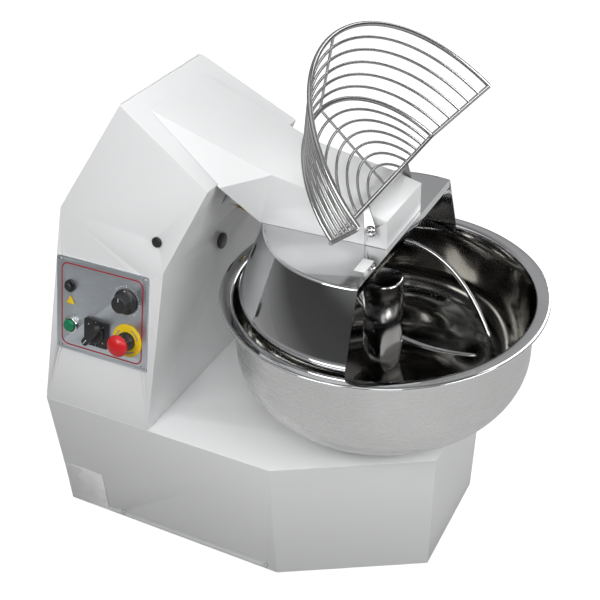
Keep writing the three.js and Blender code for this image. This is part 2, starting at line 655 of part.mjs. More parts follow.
function buildFork() {
  const hub = rod([0, 0, -FORK_EXIT - 8], [0, 0, -FORK_START + 20], 17, 28);
  const yoke = hull([-1, 1].flatMap((side) => [-1, 1].flatMap((up) => [
    [side * 14, up * 9, -FORK_START + 24],
    [side * 33, up * 8, -FORK_START - 2],
    [side * 12, up * 8, -FORK_START - 14],
  ])));
  const fork = fuse([hub, yoke, prong(1), prong(-1)]);
  const turn = new THREE.Matrix4().makeRotationZ(FORK_TURN);
  add('fork', toMachine(fork, turn), 'stainless', forkLine);
  add('fork_shaft', disc(FORK_SHAFT_R, [-FORK_EXIT - 8 + GAP, 60], 28), 'steel', forkLine);
  const face = [FORK_WORM.along - 8, FORK_WORM.along + 8];
  const wheel = toothedWheel(FORK_WHEEL_R, FORK_SHAFT_R + GAP, face, 20);
  add('fork_worm_wheel', wheel, 'bronze', forkLine);
}

// A grooved worm on its shaft, with its belt pulley, along +X at the origin.
function wormShaft({ worm, wormX, shaftR, from, to, pulleyR, pulleyX }) {
  const profile = [[0, from], [shaftR, from], [shaftR, wormX[0]]];
  const pitch = 12;
  for (let x = wormX[0]; x + pitch <= wormX[1]; x += pitch) {
    profile.push([worm, x], [worm, x + 5], [worm - 4, x + 7], [worm - 4, x + pitch - 2]);
  }
  profile.push([shaftR, wormX[1]], [shaftR, to], [0, to]);
  const bar = revolve(profile, 16).add(disc(pulleyR, [pulleyX - 8, pulleyX + 8], 28));
  return solid(geometryOf(bar).rotateY(Math.PI / 2));
}

function buildForkDrive() {
  const { along, offset } = FORK_WORM;
  const wallX = [-27, 27];
  const housing = box(wallX, [-27, offset + 27], [along - 25, along + 25])
    .subtract(box([-24.4, 24.4], [-24.4, offset + 24], [along - 22, along + 22]))
    .subtract(disc(FORK_SHAFT_R + GAP, [along - 40, along + 40], 28))
    .subtract(rod([-60, offset, along], [60, offset, along], 9.4, 24));
  add('fork_gearbox', housing, 'iron', forkLine);
  add('fork_seal', ring(38, FORK_SHAFT_R + GAP, [-80.3, -74.3], 24), 'stainless', forkLine);
  const worm = wormShaft({
    worm: offset - FORK_WHEEL_R - 0.8, wormX: [-18, 14], shaftR: 9, from: FORK_BELT_X - FORK_X - 14, to: 36,
    pulleyR: PULLEY.forkWorm, pulleyX: FORK_BELT_X - FORK_X,
  });
  add('fork_worm', worm.translate([0, offset, along]), 'steel', forkLine);
}

function buildMotor() {
  const at = (x) => [x, MOTOR_Y, MOTOR_Z];
  const body = rod(at(-60), at(140), MOTOR_R, 28)
    .add(box([-40, 120], [MOTOR_Y - 50, MOTOR_Y + 50], [PLATE_Z[1] + GAP, MOTOR_Z - 50]))
    .subtract(rod(at(-55), at(125), 46, 32))
    .subtract(rod(at(-61), at(-50), 12.5, 24));
  add('motor_body', body, 'iron');
  const rotor = union([
    rod(at(-156), at(110), 12, 24),
    rod(at(-35), at(100), 43, 32),
    rod(at(FORK_BELT_X - 8), at(FORK_BELT_X + 8), PULLEY.motorFork, 28),
    rod(at(BOWL_BELT_X - 8), at(BOWL_BELT_X + 8), PULLEY.motorBowl, 24),
  ]);
  add('motor_rotor', rotor, 'steel');
  const forkWormAt = vec(0, FORK_WORM.offset, FORK_WORM.along).applyMatrix4(forkLine.matrix);
  const slack = 0.6;
  const band = (x, from, to) => belt(from, to, [x - 5, x + 5], 4);
  add('fork_belt', band(FORK_BELT_X, [MOTOR_Y, MOTOR_Z, PULLEY.motorFork + slack],
    [forkWormAt.y, forkWormAt.z, PULLEY.forkWorm + slack]), 'rubber');
  add('bowl_belt', band(BOWL_BELT_X, [MOTOR_Y, MOTOR_Z, PULLEY.motorBowl + slack],
    [BOWL_WORM.y, BOWL_WORM.z, PULLEY.bowlWorm + slack]), 'rubber');
  const worm = wormShaft({
    worm: BOWL_WORM.y - BOWL_WHEEL_R - 0.8, wormX: [-36, 36], shaftR: 9, from: BOWL_BELT_X - 14, to: 92,
    pulleyR: PULLEY.bowlWorm, pulleyX: BOWL_BELT_X,
  });
  add('bowl_worm', worm.translate([0, BOWL_WORM.y, BOWL_WORM.z]), 'steel');
}

// ---------- control panel ----------
function buildPanel() {
  const top = GAP + PANEL_SHEET;
  const put = (name, shape, x, y, finish) => add(name, shape.translate([x, y, 0]), finish, panelFrame);
  const above = (low, high) => [top + low, top + high];
  const holeFor = ([x, y], radius) => disc(radius, [-5, 10], 12).translate([x, y, 0]);
  const holes = union([
    holeFor(CONTROLS.button, 6), holeFor(CONTROLS.start, 9), holeFor(CONTROLS.stop, 9),
    holeFor(CONTROLS.timer, 4), holeFor(CONTROLS.selector, 6),
    ...PANEL_SCREWS.map((place) => holeFor(place, 2.4)),
  ]);
  const plate = extrude(roundedRectangle(...PANEL_SIZE, 5), [GAP, top]).subtract(holes);
  add('panel_plate', plate, 'panel', panelFrame);
  PANEL_SCREWS.forEach(([x, y], i) => {
    const screw = revolve([
      [0, -3], [2, -3], [2, top + 0.3], [4.5, top + 0.3], [3.6, top + 2.2], [0, top + 2.6],
    ], 16);
    put(`panel_screw_${i + 1}`, screw, x, y, 'steel');
  });

  put('button_bezel', ring(11, 7.6, above(0.3, 3), 28), ...CONTROLS.button, 'black');
  const blackButton = disc(7.2, above(4, 10), 20).add(disc(5, [-6, top + 5], 20));
  put('black_button', blackButton, ...CONTROLS.button, 'black');
  const sign = extrude([[-9.5, -8], [9.5, -8], [0, 8]], above(0.3, 0.8));
  put('caution_sign', sign, ...CONTROLS.sign, 'yellow');

  put('start_bezel', ring(16, 11.6, above(0.3, 6), 24), ...CONTROLS.start, 'stainless');
  const startButton = disc(11.2, above(4, 11), 24).add(disc(8, [-8, top + 5], 20));
  put('start_button', startButton, ...CONTROLS.start, 'green');

  const knob = revolve([[0, -6], [3.5, -6], [3.5, top + 1.5], [23, top + 1.5], [22, top + 5], [18, top + 6],
    [16, top + 22], [14.5, top + 24], [0, top + 24]], 24);
  put('timer_knob', knob, ...CONTROLS.timer, 'black');

  put('selector_plate', extrude(roundedRectangle(50, 50, 4), above(0.3, 5)).subtract(disc(5.4, [-5, 20], 24)),
    ...CONTROLS.selector, 'black');
  const handle = disc(18, above(5.6, 10), 32)
    .add(extrude(roundedRectangle(14, 46, 6), above(9, 24)))
    .add(disc(5, [-6, top + 6], 20));
  put('selector_handle', solid(geometryOf(handle).rotateZ(SELECTOR_TURN)), ...CONTROLS.selector, 'black');

  put('stop_disc', ring(30, 8.5, above(0.3, 2.3), 28), ...CONTROLS.stop, 'yellow');
  put('stop_collar', ring(17, 8.5, above(2.7, 20), 32), ...CONTROLS.stop, 'black');
  const mushroom = revolve([
    [0, -8], [7, -8], [7, top + 25], [18.5, top + 25.5], [20, top + 29], [19, top + 34],
    [14, top + 38.5], [7, top + 40.3], [0, top + 40.8],
  ], 24);
  put('stop_mushroom', mushroom, ...CONTROLS.stop, 'red');
}

// ---------- small parts on the housing ----------
function buildSmallParts() {
  const face = (z, off) => -(BASE_HALF - taperAt(z) + off);
  const badge = hull([[6, 464], [6, 552], [100, 464], [100, 552]]
    .flatMap(([z, y]) => [[face(z, GAP), y, z], [face(z, GAP + 0.8), y, z]]));
  add('skirt_badge', badge, 'label');
  const stem = rod(fittingPoint(10), fittingPoint(-14), 4, 16);
  const nut = rod(fittingPoint(15), fittingPoint(9), 7, 6);
  add('drain_fitting', stem.add(nut), 'brass');
  const gland = rod([-150, REAR_Y - 18, 60], [-150, REAR_Y - 2, 60], 10, 24)
    .add(rod([-150, REAR_Y - 5, 60], [-150, REAR_Y + 14, 60], 13, 6))
    .subtract(rod([-150, REAR_Y - 30, 60], [-150, REAR_Y + 20, 60], CABLE_R + GAP, 20));
  add('cable_gland', gland, 'black');
  const z = CABLE_R + 0.4;
  const run = [
    [-150, REAR_Y - 60, 60], [-150, REAR_Y - 20, 60], [-150, REAR_Y + 8, 60], [-150, REAR_Y + 16, 60],
    [-148, CABLE_Y - 4, 46],
    [-132, CABLE_Y, 18], [-100, CABLE_Y, 8], [-40, CABLE_Y, z], [20, CABLE_Y, 8], [62, CABLE_Y, PLUG_R],
  ];
  const plug = revolve([[0, 0], [8, 0], [9, 14], [17, 24], [PLUG_R, 52], [0, 52]], 20);
  const pins = [-9.5, 9.5].map((y) => disc(2.4, [50, 70], 12).translate([0, y, 0]));
  const turned = solid(geometryOf(union([plug, ...pins])).rotateY(Math.PI / 2));
  add('power_cable', tube(run, CABLE_R, 26, 6).add(turned.translate([56, CABLE_Y, PLUG_R + 0.2])), 'rubber');
}

buildBase();
buildTower();
buildHead();
buildGuard();
buildGrid();
buildBowl();
buildFork();
buildForkDrive();
buildMotor();
buildPanel();
buildSmallParts();

machine.position.y = -CENTRE_Y;

export default machine;
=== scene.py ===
"""Looks for the fork dough mixer: finer meshes, materials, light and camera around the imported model.

Metres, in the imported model's frame: origin on the floor, front towards -Y, +Z up.
"""
import json
import math

import bpy
import bmesh
from mathutils import Matrix, Vector


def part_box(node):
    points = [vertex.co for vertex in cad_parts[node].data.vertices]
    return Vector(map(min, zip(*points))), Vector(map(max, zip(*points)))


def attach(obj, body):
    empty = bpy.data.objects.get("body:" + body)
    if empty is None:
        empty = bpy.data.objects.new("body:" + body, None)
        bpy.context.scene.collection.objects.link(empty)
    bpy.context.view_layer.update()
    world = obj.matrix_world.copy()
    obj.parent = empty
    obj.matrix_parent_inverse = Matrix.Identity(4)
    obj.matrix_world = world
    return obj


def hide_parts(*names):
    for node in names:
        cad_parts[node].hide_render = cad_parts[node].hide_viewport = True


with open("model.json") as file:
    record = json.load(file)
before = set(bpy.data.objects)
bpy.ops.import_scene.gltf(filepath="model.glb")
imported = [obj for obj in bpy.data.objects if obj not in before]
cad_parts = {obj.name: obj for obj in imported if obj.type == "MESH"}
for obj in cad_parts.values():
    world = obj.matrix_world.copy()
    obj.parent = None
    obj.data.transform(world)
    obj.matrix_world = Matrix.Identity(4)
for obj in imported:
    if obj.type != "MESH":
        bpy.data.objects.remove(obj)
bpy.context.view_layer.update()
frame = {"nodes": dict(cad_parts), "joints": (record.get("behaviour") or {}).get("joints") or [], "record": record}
NODES = frame["nodes"]
JOINTS = {joint["name"]: joint for joint in frame["joints"]}
MM = 0.001
TURN = 2 * math.pi


# ---------- shader helpers ----------
class Shader:
    """A node material with one Principled surface and short ways to add to it."""

    def __init__(self, name, color, roughness, metallic=0.0, **inputs):
        self.material = bpy.data.materials.new(name)
        self.material.use_nodes = True
        self.tree = self.material.node_tree
        self.surface = self.tree.nodes["Principled BSDF"]
        self.color = tuple(color) + (1.0,)
        self.set("Base Color", self.color)
        self.set("Roughness", roughness)
        self.set("Metallic", metallic)
        for key, value in inputs.items():
            self.set(key.replace("_", " "), value)
        self.coords = self.node("ShaderNodeTexCoord")

    def set(self, socket, value):
        self.surface.inputs[socket].default_value = value

    def node(self, kind, **values):
        made = self.tree.nodes.new(kind)
        for key, value in values.items():
            socket = key.replace("_", " ")
            made.inputs[socket].default_value = value
        return made

    def link(self, a, out, b, into):
        self.tree.links.new(a.outputs[out], b.inputs[into])

    def noise(self, scale, stretch=(1, 1, 1), detail=3.0):
        mapping = self.node("ShaderNodeMapping")
        mapping.inputs["Scale"].default_value = stretch
        texture = self.node("ShaderNodeTexNoise", Scale=scale, Detail=detail)
        self.link(self.coords, "Object", mapping, "Vector")
        self.link(mapping, "Vector", texture, "Vector")
        return texture

    def ranged(self, source, low, high):
        """The middle of a noise, from 0.3 to 0.7, spread from low to high."""
        spread = self.node("ShaderNodeMapRange")
        for socket, value in (("From Min", 0.3), ("From Max", 0.7), ("To Min", low), ("To Max", high)):
            spread.inputs[socket].default_value = value
        self.link(source, "Fac" if "Fac" in source.outputs else 0, spread, "Value")
        return spread

    def rough_by(self, source, low, high):
        self.link(self.ranged(source, low, high), "Result", self.surface, "Roughness")
        return self

    def tint_by(self, source, low, high):
        """Brightens and darkens the base colour between two factors."""
        mix = self.node("ShaderNodeMix")
        mix.data_type = "RGBA"
        mix.inputs[6].default_value = tuple(c * low for c in self.color[:3]) + (1,)
        mix.inputs[7].default_value = tuple(min(1, c * high) for c in self.color[:3]) + (1,)
        self.link(self.ranged(source, 0, 1), "Result", mix, 0)
        self.tree.links.new(mix.outputs[2], self.surface.inputs["Base Color"])
        return self

    def bump_by(self, source, distance, strength=1.0):
        bump = self.node("ShaderNodeBump", Strength=strength, Distance=distance)
        self.link(source, "Fac" if "Fac" in source.outputs else 0, bump, "Height")
        self.link(bump, "Normal", self.surface, "Normal")
        return self


def powder_coat():
    s = Shader("white_powder_coat", (0.86, 0.865, 0.87), 0.3, Coat_Weight=0.25, Coat_Roughness=0.12)
    s.bump_by(s.noise(700, detail=2), 0.00005, 0.6)
    s.rough_by(s.noise(9), 0.29, 0.33)
    return s.tint_by(s.noise(5), 0.994, 1.004).material


def polished_steel(name, color, rough, streak, spread=0.05, relief=0.00001):
    s = Shader(name, color, rough, 1.0)
    s.bump_by(s.noise(60, streak, detail=4), relief, 0.5)
    s.rough_by(s.noise(40, streak), rough, rough + spread)
    return s.tint_by(s.noise(7), 0.93, 1.03).material


def moulded(name, color, rough, grain=1400):
    s = Shader(name, color, rough)
    s.bump_by(s.noise(grain), 0.00004, 0.5)
    s.rough_by(s.noise(30), rough - 0.05, rough + 0.08)
    return s.tint_by(s.noise(25), 0.9, 1.08).material


def metal(name, color, rough, streak=(1, 1, 1)):
    s = Shader(name, color, rough, 1.0)
    s.bump_by(s.noise(180, streak, detail=5), 0.00004, 0.6)
    s.rough_by(s.noise(50, streak), rough - 0.06, rough + 0.1)
    return s.tint_by(s.noise(30, streak), 0.9, 1.06).material


MAT = {
    "white_coat": powder_coat(),
    "mirror": polished_steel("mirror_stainless", (0.66, 0.665, 0.67), 0.05, (1, 1, 1), 0.04),
    # Bowl inside: spun stainless whose base colour is darkened as painted shade, for the dark shade and
    # reflections inside the bowl.
    "spun_painted_shade": polished_steel("spun_stainless_painted_shade", (0.36, 0.355, 0.34), 0.07, (0.2, 0.2, 12), 0.06, 0.000004),
    "satin": polished_steel("satin_stainless", (0.58, 0.58, 0.575), 0.24, (0.3, 0.3, 14), 0.08, 0.00001),
    "wire": polished_steel("wire_stainless", (0.44, 0.44, 0.435), 0.14, (1, 1, 1), 0.08),
    "plain_steel": metal("machined_steel", (0.52, 0.53, 0.54), 0.32, (1, 8, 1)),
    "cast_iron": moulded("painted_casting", (0.10, 0.11, 0.12), 0.55, 260),
    "bronze": metal("bronze", (0.55, 0.36, 0.15), 0.35),
    "brass": metal("brass", (0.75, 0.55, 0.22), 0.25),
    "rubber": moulded("black_rubber", (0.025, 0.025, 0.027), 0.75, 500),
    "panel_metal": metal("brushed_panel", (0.60, 0.64, 0.675), 0.38, (60, 1, 60)),
    "chrome_trim": polished_steel("chrome_trim", (0.75, 0.75, 0.76), 0.06, (1, 1, 1)),
    "black_plastic": moulded("black_plastic", (0.018, 0.018, 0.02), 0.36),
    "red_plastic": moulded("red_plastic", (0.62, 0.012, 0.016), 0.3),
    "yellow_plastic": moulded("yellow_plastic", (0.9, 0.62, 0.015), 0.38),
    "green_plastic": moulded("green_plastic", (0.006, 0.20, 0.085), 0.26),
    "label_film": moulded("label_film", (0.86, 0.86, 0.86), 0.3, 900),
    "red_print": moulded("red_print", (0.36, 0.012, 0.03), 0.42, 900),
    "white_print": moulded("white_print", (0.85, 0.85, 0.85), 0.45, 900),
    "grey_print": moulded("grey_print", (0.30, 0.31, 0.32), 0.5, 900),
}


# ---------- carried-over CAD nodes ----------
SLOT_OF = {part["node"]: part["material_slot"] for part in frame["record"]["subparts"]}
SLOT_MATERIAL = {"polished_stainless": "mirror"}
BEVELS = {
    "base_housing": 3.5, "tower_housing": 2.5, "head_cowl": 3.5, "nose_block": 3.0, "rear_cover": 0.6,
    "panel_plate": 0.5, "stop_disc": 0.6, "selector_plate": 0.8, "motor_body": 1.5, "bowl_gearbox": 1.5,
    "skirt_badge": 0.2, "guard_label": 0.15,
}


def dress_node(name, node):
    """Gives a CAD node its material, rounds its edges and shades it smooth between them."""
    slot = SLOT_OF[name]
    node.data.materials.clear()
    node.data.materials.append(MAT[SLOT_MATERIAL.get(slot, slot)])
    weld = node.modifiers.new("weld", "WELD")
    weld.merge_threshold = 0.00002
    bevel = node.modifiers.new("bevel", "BEVEL")
    bevel.width = BEVELS.get(name, 0.4) * MM
    bevel.segments = 3 if name in BEVELS else 2
    bevel.limit_method = "ANGLE"
    bevel.angle_limit = math.radians(24)
    bevel.harden_normals = True
    bevel.use_clamp_overlap = True
    for polygon in node.data.polygons:
        polygon.use_smooth = True


for node_name, node_object in NODES.items():
    dress_node(node_name, node_object)


# ---------- mesh helpers ----------
def make(name, verts, faces, materials, body, slot, at=None, indices=None, flat=False):
    """A mesh object in the frame, riding on a body. materials is one material or a list."""
    mesh = bpy.data.meshes.new(name)
    mesh.from_pydata([tuple(v) for v in verts], [], faces)
    for m in materials if isinstance(materials, list) else [materials]:
        mesh.materials.append(m)
    if indices:
        mesh.polygons.foreach_set("material_index", indices)
    bm = bmesh.new()
    bm.from_mesh(mesh)
    bmesh.ops.remove_doubles(bm, verts=bm.verts, dist=1e-7)
    bmesh.ops.recalc_face_normals(bm, faces=bm.faces)
    bm.to_mesh(mesh)
    bm.free()
    if at is not None:
        mesh.transform(at)
    for polygon in mesh.polygons:
        polygon.use_smooth = not flat
    piece = bpy.data.objects.new(name, mesh)
    bpy.context.scene.collection.objects.link(piece)
    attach(piece, body)
    return piece


def sharpen(piece, degrees=32, width=None):
    """Marks edges above an angle sharp, or rounds them when a width in millimetres is given."""
    if width:
        bevel = piece.modifiers.new("bevel", "BEVEL")
        bevel.width = width * MM
        bevel.segments = 3
        bevel.limit_method = "ANGLE"
        bevel.angle_limit = math.radians(degrees)
        bevel.harden_normals = True
        return piece
    piece.data.set_sharp_from_angle(angle=math.radians(degrees))
    return piece


def lathe(profile, segments):
    """Vertices and faces of a [radius, height] profile in millimetres turned about Z."""
    verts, faces = [], []
    for k in range(segments):
        c, s = math.cos(TURN * k / segments), math.sin(TURN * k / segments)
        verts += [(r * c * MM, r * s * MM, z * MM) for r, z in profile]
    n = len(profile)
    for k in range(segments):
        a, b = k * n, ((k + 1) % segments) * n
        for i in range(n - 1):
            if profile[i][0] == 0 and profile[i + 1][0] == 0:
                continue
            corners = [a + i, b + i, b + i + 1, a + i + 1]
            if profile[i][0] == 0:
                corners.pop(1)
            elif profile[i + 1][0] == 0:
                corners.pop(2)
            faces.append(corners)
    return verts, faces


def fillet(points, radii, steps=5):
    """Rounds the corners of an open 2D polyline. radii is one radius for all, or one for each point."""
    out = []
    for i, point in enumerate(points):
        p = Vector(point)
        r = radii[i] if isinstance(radii, list) else radii
        if i in (0, len(points) - 1) or not r:
            out.append(tuple(p))
            continue
        before, after = Vector(points[i - 1]) - p, Vector(points[i + 1]) - p
        reach = min(r, before.length * 0.45, after.length * 0.45)
        a, b = p + before.normalized() * reach, p + after.normalized() * reach
        for k in range(steps + 1):
            t = k / steps
            out.append(tuple(a * (1 - t) ** 2 + p * 2 * t * (1 - t) + b * t ** 2))
    return out


def sweep(points, section):
    """A bar with flat ends: section(t) gives the ring's (side, up) pairs along the centre line."""
    verts, faces = [], []
    count = len(points)
    up = None
    for i, p in enumerate(points):
        ahead = points[i + 1] if i < count - 1 else p
        behind = points[i - 1] if i > 0 else p
        tangent = (Vector(ahead) - Vector(behind)).normalized()
        if up is None:
            up = Vector((1, 0, 0)) if abs(tangent.x) < 0.8 else Vector((0, 0, 1))
        up = (up - tangent * up.dot(tangent)).normalized()
        side = tangent.cross(up)
        ring = section(i / (count - 1))
        verts += [Vector(p) + side * a + up * b for a, b in ring]
    n = len(section(0))
    for i in range(count - 1):
        a, b = i * n, (i + 1) * n
        faces += [(a + k, a + (k + 1) % n, b + (k + 1) % n, b + k) for k in range(n)]
    faces += [tuple(range(n)), tuple(range((count - 1) * n, count * n))[::-1]]
    return verts, faces


def round_section(radius, sides=12):
    ring = [(radius * math.cos(TURN * k / sides), radius * math.sin(TURN * k / sides)) for k in range(sides)]
    return lambda t: ring


def merge(parts):
    verts, faces = [], []
    for v, f in parts:
        base = len(verts)
        verts += v
        faces += [tuple(i + base for i in face) for face in f]
    return verts, faces


def slab(outline, low, high):
    """A flat plate with the given [x, y] outline, in metres."""
    n = len(outline)
    verts = [(x, y, low) for x, y in outline] + [(x, y, high) for x, y in outline]
    faces = [tuple(range(n))[::-1], tuple(range(n, 2 * n))]
    faces += [(k, (k + 1) % n, (k + 1) % n + n, k + n) for k in range(n)]
    return verts, faces


def rounded_outline(width, height, radius, steps=6):
    points = []
    for quarter, (sx, sy) in enumerate(((1, 1), (-1, 1), (-1, -1), (1, -1))):
        for k in range(steps + 1):
            a = (quarter + k / steps) * TURN / 4
            points.append((
                sx * (width / 2 - radius) + radius * math.cos(a),
                sy * (height / 2 - radius) + radius * math.sin(a),
            ))
    return points


def frame_band(outline, inner, low, high):
    """A flat ring between two outlines with the same number of points."""
    n = len(outline)
    verts = []
    for ring, z in ((outline, low), (outline, high), (inner, high), (inner, low)):
        verts += [(x, y, z) for x, y in ring]
    faces = []
    for a in range(4):
        b = (a + 1) % 4
        faces += [(a * n + k, a * n + (k + 1) % n, b * n + (k + 1) % n, b * n + k) for k in range(n)]
    return verts, faces


# ---------- bowl ----------
BOWL_LOW, BOWL_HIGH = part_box("bowl")
BOWL_AT = Matrix.Translation(((BOWL_LOW.x + BOWL_HIGH.x) / 2, (BOWL_LOW.y + BOWL_HIGH.y) / 2, 0))
RIM_R = (BOWL_HIGH.x - BOWL_LOW.x) / 2 / MM
FLOOR_Z = BOWL_LOW.z / MM
COLUMN_TOP = BOWL_HIGH.z / MM
BOWL_DEPTH = 224
RIM_WIDTH = 24
RIM_Z = FLOOR_Z + BOWL_DEPTH
BODY_R = RIM_R - RIM_WIDTH
SHEET = 3
COLUMN_R = 34.5
CORNER_ACROSS, CORNER_TALL = 141, 123     # the rounded lower corner is a quarter ellipse


def bowl_arc(offset, steps=22):
    """The rounded lower corner of the bowl, from the flat floor up to the straight wall."""
    points = []
    for k in range(steps + 1):
        a = k / steps * TURN / 4
        points.append((
            BODY_R - CORNER_ACROSS + (CORNER_ACROSS - offset) * math.sin(a),
            FLOOR_Z + CORNER_TALL - (CORNER_TALL - offset) * math.cos(a),
        ))
    return points


def build_bowl():
    z = RIM_Z
    outside = bowl_arc(0) + fillet(
        [(BODY_R, z - 60), (BODY_R, z - 14), (BODY_R + 6, z - 6.5), (RIM_R - 3, z - 6), (RIM_R - 0.1, z - 4),
         (RIM_R - 0.4, z - 1), (RIM_R - 5, z - 0.1)], 6)
    inside = fillet(
        [(RIM_R - 5, z - 0.1), (BODY_R + 9, z - 0.6), (BODY_R - 0.5, z - 3), (BODY_R - SHEET, z - 20),
         (BODY_R - SHEET, z - 60)], 10) + bowl_arc(SHEET)[::-1]
    floor = FLOOR_Z + SHEET
    column = fillet(
        [(66, floor), (52, floor + 2), (42, floor + 18), (COLUMN_R, floor + 52), (COLUMN_R, floor + 90),
         (COLUMN_R, COLUMN_TOP - 0.1), (0, COLUMN_TOP - 0.1)], [0, 10, 16, 20, 0, 5, 0])
    hollow = [
        (0, COLUMN_TOP - 4), (COLUMN_R - SHEET, COLUMN_TOP - 6), (COLUMN_R - SHEET, FLOOR_Z), outside[0],
    ]
    profile = outside + inside + column + hollow
    verts, faces = lathe(profile, 144)
    # The inside faces get the darkened steel, painted shade; the outside gets satin, the rim mirror steel and the
    # column the brighter chrome steel.
    inner_painted_shade_steel, outer_steel, rim_steel, post_steel = range(4)
    indices = []
    for face in faces:
        x, y, height = (sum(verts[i][axis] for i in face) / len(face) / MM for axis in range(3))
        radius = math.hypot(x, y)
        wall = BODY_R - SHEET / 2
        outer = radius > wall or (radius > COLUMN_R + SHEET and height < FLOOR_Z + 1)
        across = (radius - BODY_R + CORNER_ACROSS) / CORNER_ACROSS
        tall = (FLOOR_Z + CORNER_TALL - height) / CORNER_TALL
        corner = math.hypot(across, tall)
        if radius > BODY_R - CORNER_ACROSS and height < FLOOR_Z + CORNER_TALL:
            outer = corner > 1 - 1.5 / 130
        rim = height > z - 16 and radius > wall
        post = radius < COLUMN_R + 1 and height > FLOOR_Z + 50
        plain = post_steel if post else inner_painted_shade_steel
        indices.append(rim_steel if rim else outer_steel if outer else plain)
    steels = [MAT["spun_painted_shade"], MAT["satin"], MAT["mirror"], MAT["chrome_trim"]]
    bowl = make("mixing_bowl", verts, faces, steels, "bowl_unit", "polished_stainless", BOWL_AT, indices)
    sharpen(bowl, 40)
    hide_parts("bowl")


# ---------- fork ----------
def line_matrix(joint, turn):
    """A frame on a joint's axis: +Z along it, +X level with the ground."""
    axis = Vector(JOINTS[joint]["axis"]).normalized()
    x = Vector((1, 0, 0))
    y = axis.cross(x)
    rotation = Matrix((x, y, axis)).transposed().to_4x4()
    origin = Vector(JOINTS[joint]["pos_m"])
    return Matrix.Translation(origin) @ rotation @ Matrix.Rotation(turn, 4, "Z")


PRONG_RADII = (25.3, 118.8, 91.3, 22.5)
PRONG_LENGTH = 300.8
PRONG_START = 278.5
FORK_TURN = math.radians(-31.6)      # where the prongs point, about the fork's axis


def bezier(values, t):
    u = 1 - t
    a, b, c, d = values
    return a * u ** 3 + 3 * b * u * u * t + 3 * c * u * t * t + d * t ** 3


def build_fork():
    # The joint's point lies 300 mm down the axis from the head's end, so heights count from there.
    lift = 300
    steps = 60

    def prong(side):
        points = []
        for k in range(steps + 1):
            t = k / steps
            height = lift - PRONG_START - PRONG_LENGTH * t
            points.append(Vector((side * bezier(PRONG_RADII, t), 0, height)) * MM)

        def section(t):
            wide, thick = (7.4 - 2.6 * t) * MM, (5.2 - 1.5 * t) * MM
            end = 0.72 if t > 0.999 else 1.0
            ring = []
            for k in range(16):
                a = TURN * k / 16
                c, s = math.cos(a), math.sin(a)
                ring.append((
                    wide * end * math.copysign(abs(c) ** 0.7, c),
                    thick * end * math.copysign(abs(s) ** 0.7, s),
                ))
            return ring
        return sweep(points, section)

    top = lift - 82
    hub = lathe([
        (0, top), (15.5, top), (17, top - 1.5), (17, lift - 250), (15, lift - 258), (0, lift - 260),
    ], 48)

    def yoke_arm(side):
        places = ((0, 254), (9, 259), (18, 267), (25, 278), (31, 291))
        points = [Vector((side * x, 0, lift - z)) * MM for x, z in places]
        return sweep(points, lambda t: [
            ((11 - 3.6 * t) * MM * math.cos(TURN * k / 16), (12 - 6 * t) * MM * math.sin(TURN * k / 16))
            for k in range(16)
        ])
    verts, faces = merge([hub, prong(1), prong(-1), yoke_arm(1), yoke_arm(-1)])
    at = line_matrix("fork_spin", FORK_TURN)
    fork = make("mixing_fork", verts, faces, MAT["mirror"], "fork_unit", "polished_stainless", at)
    sharpen(fork, 50)
    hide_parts("fork")


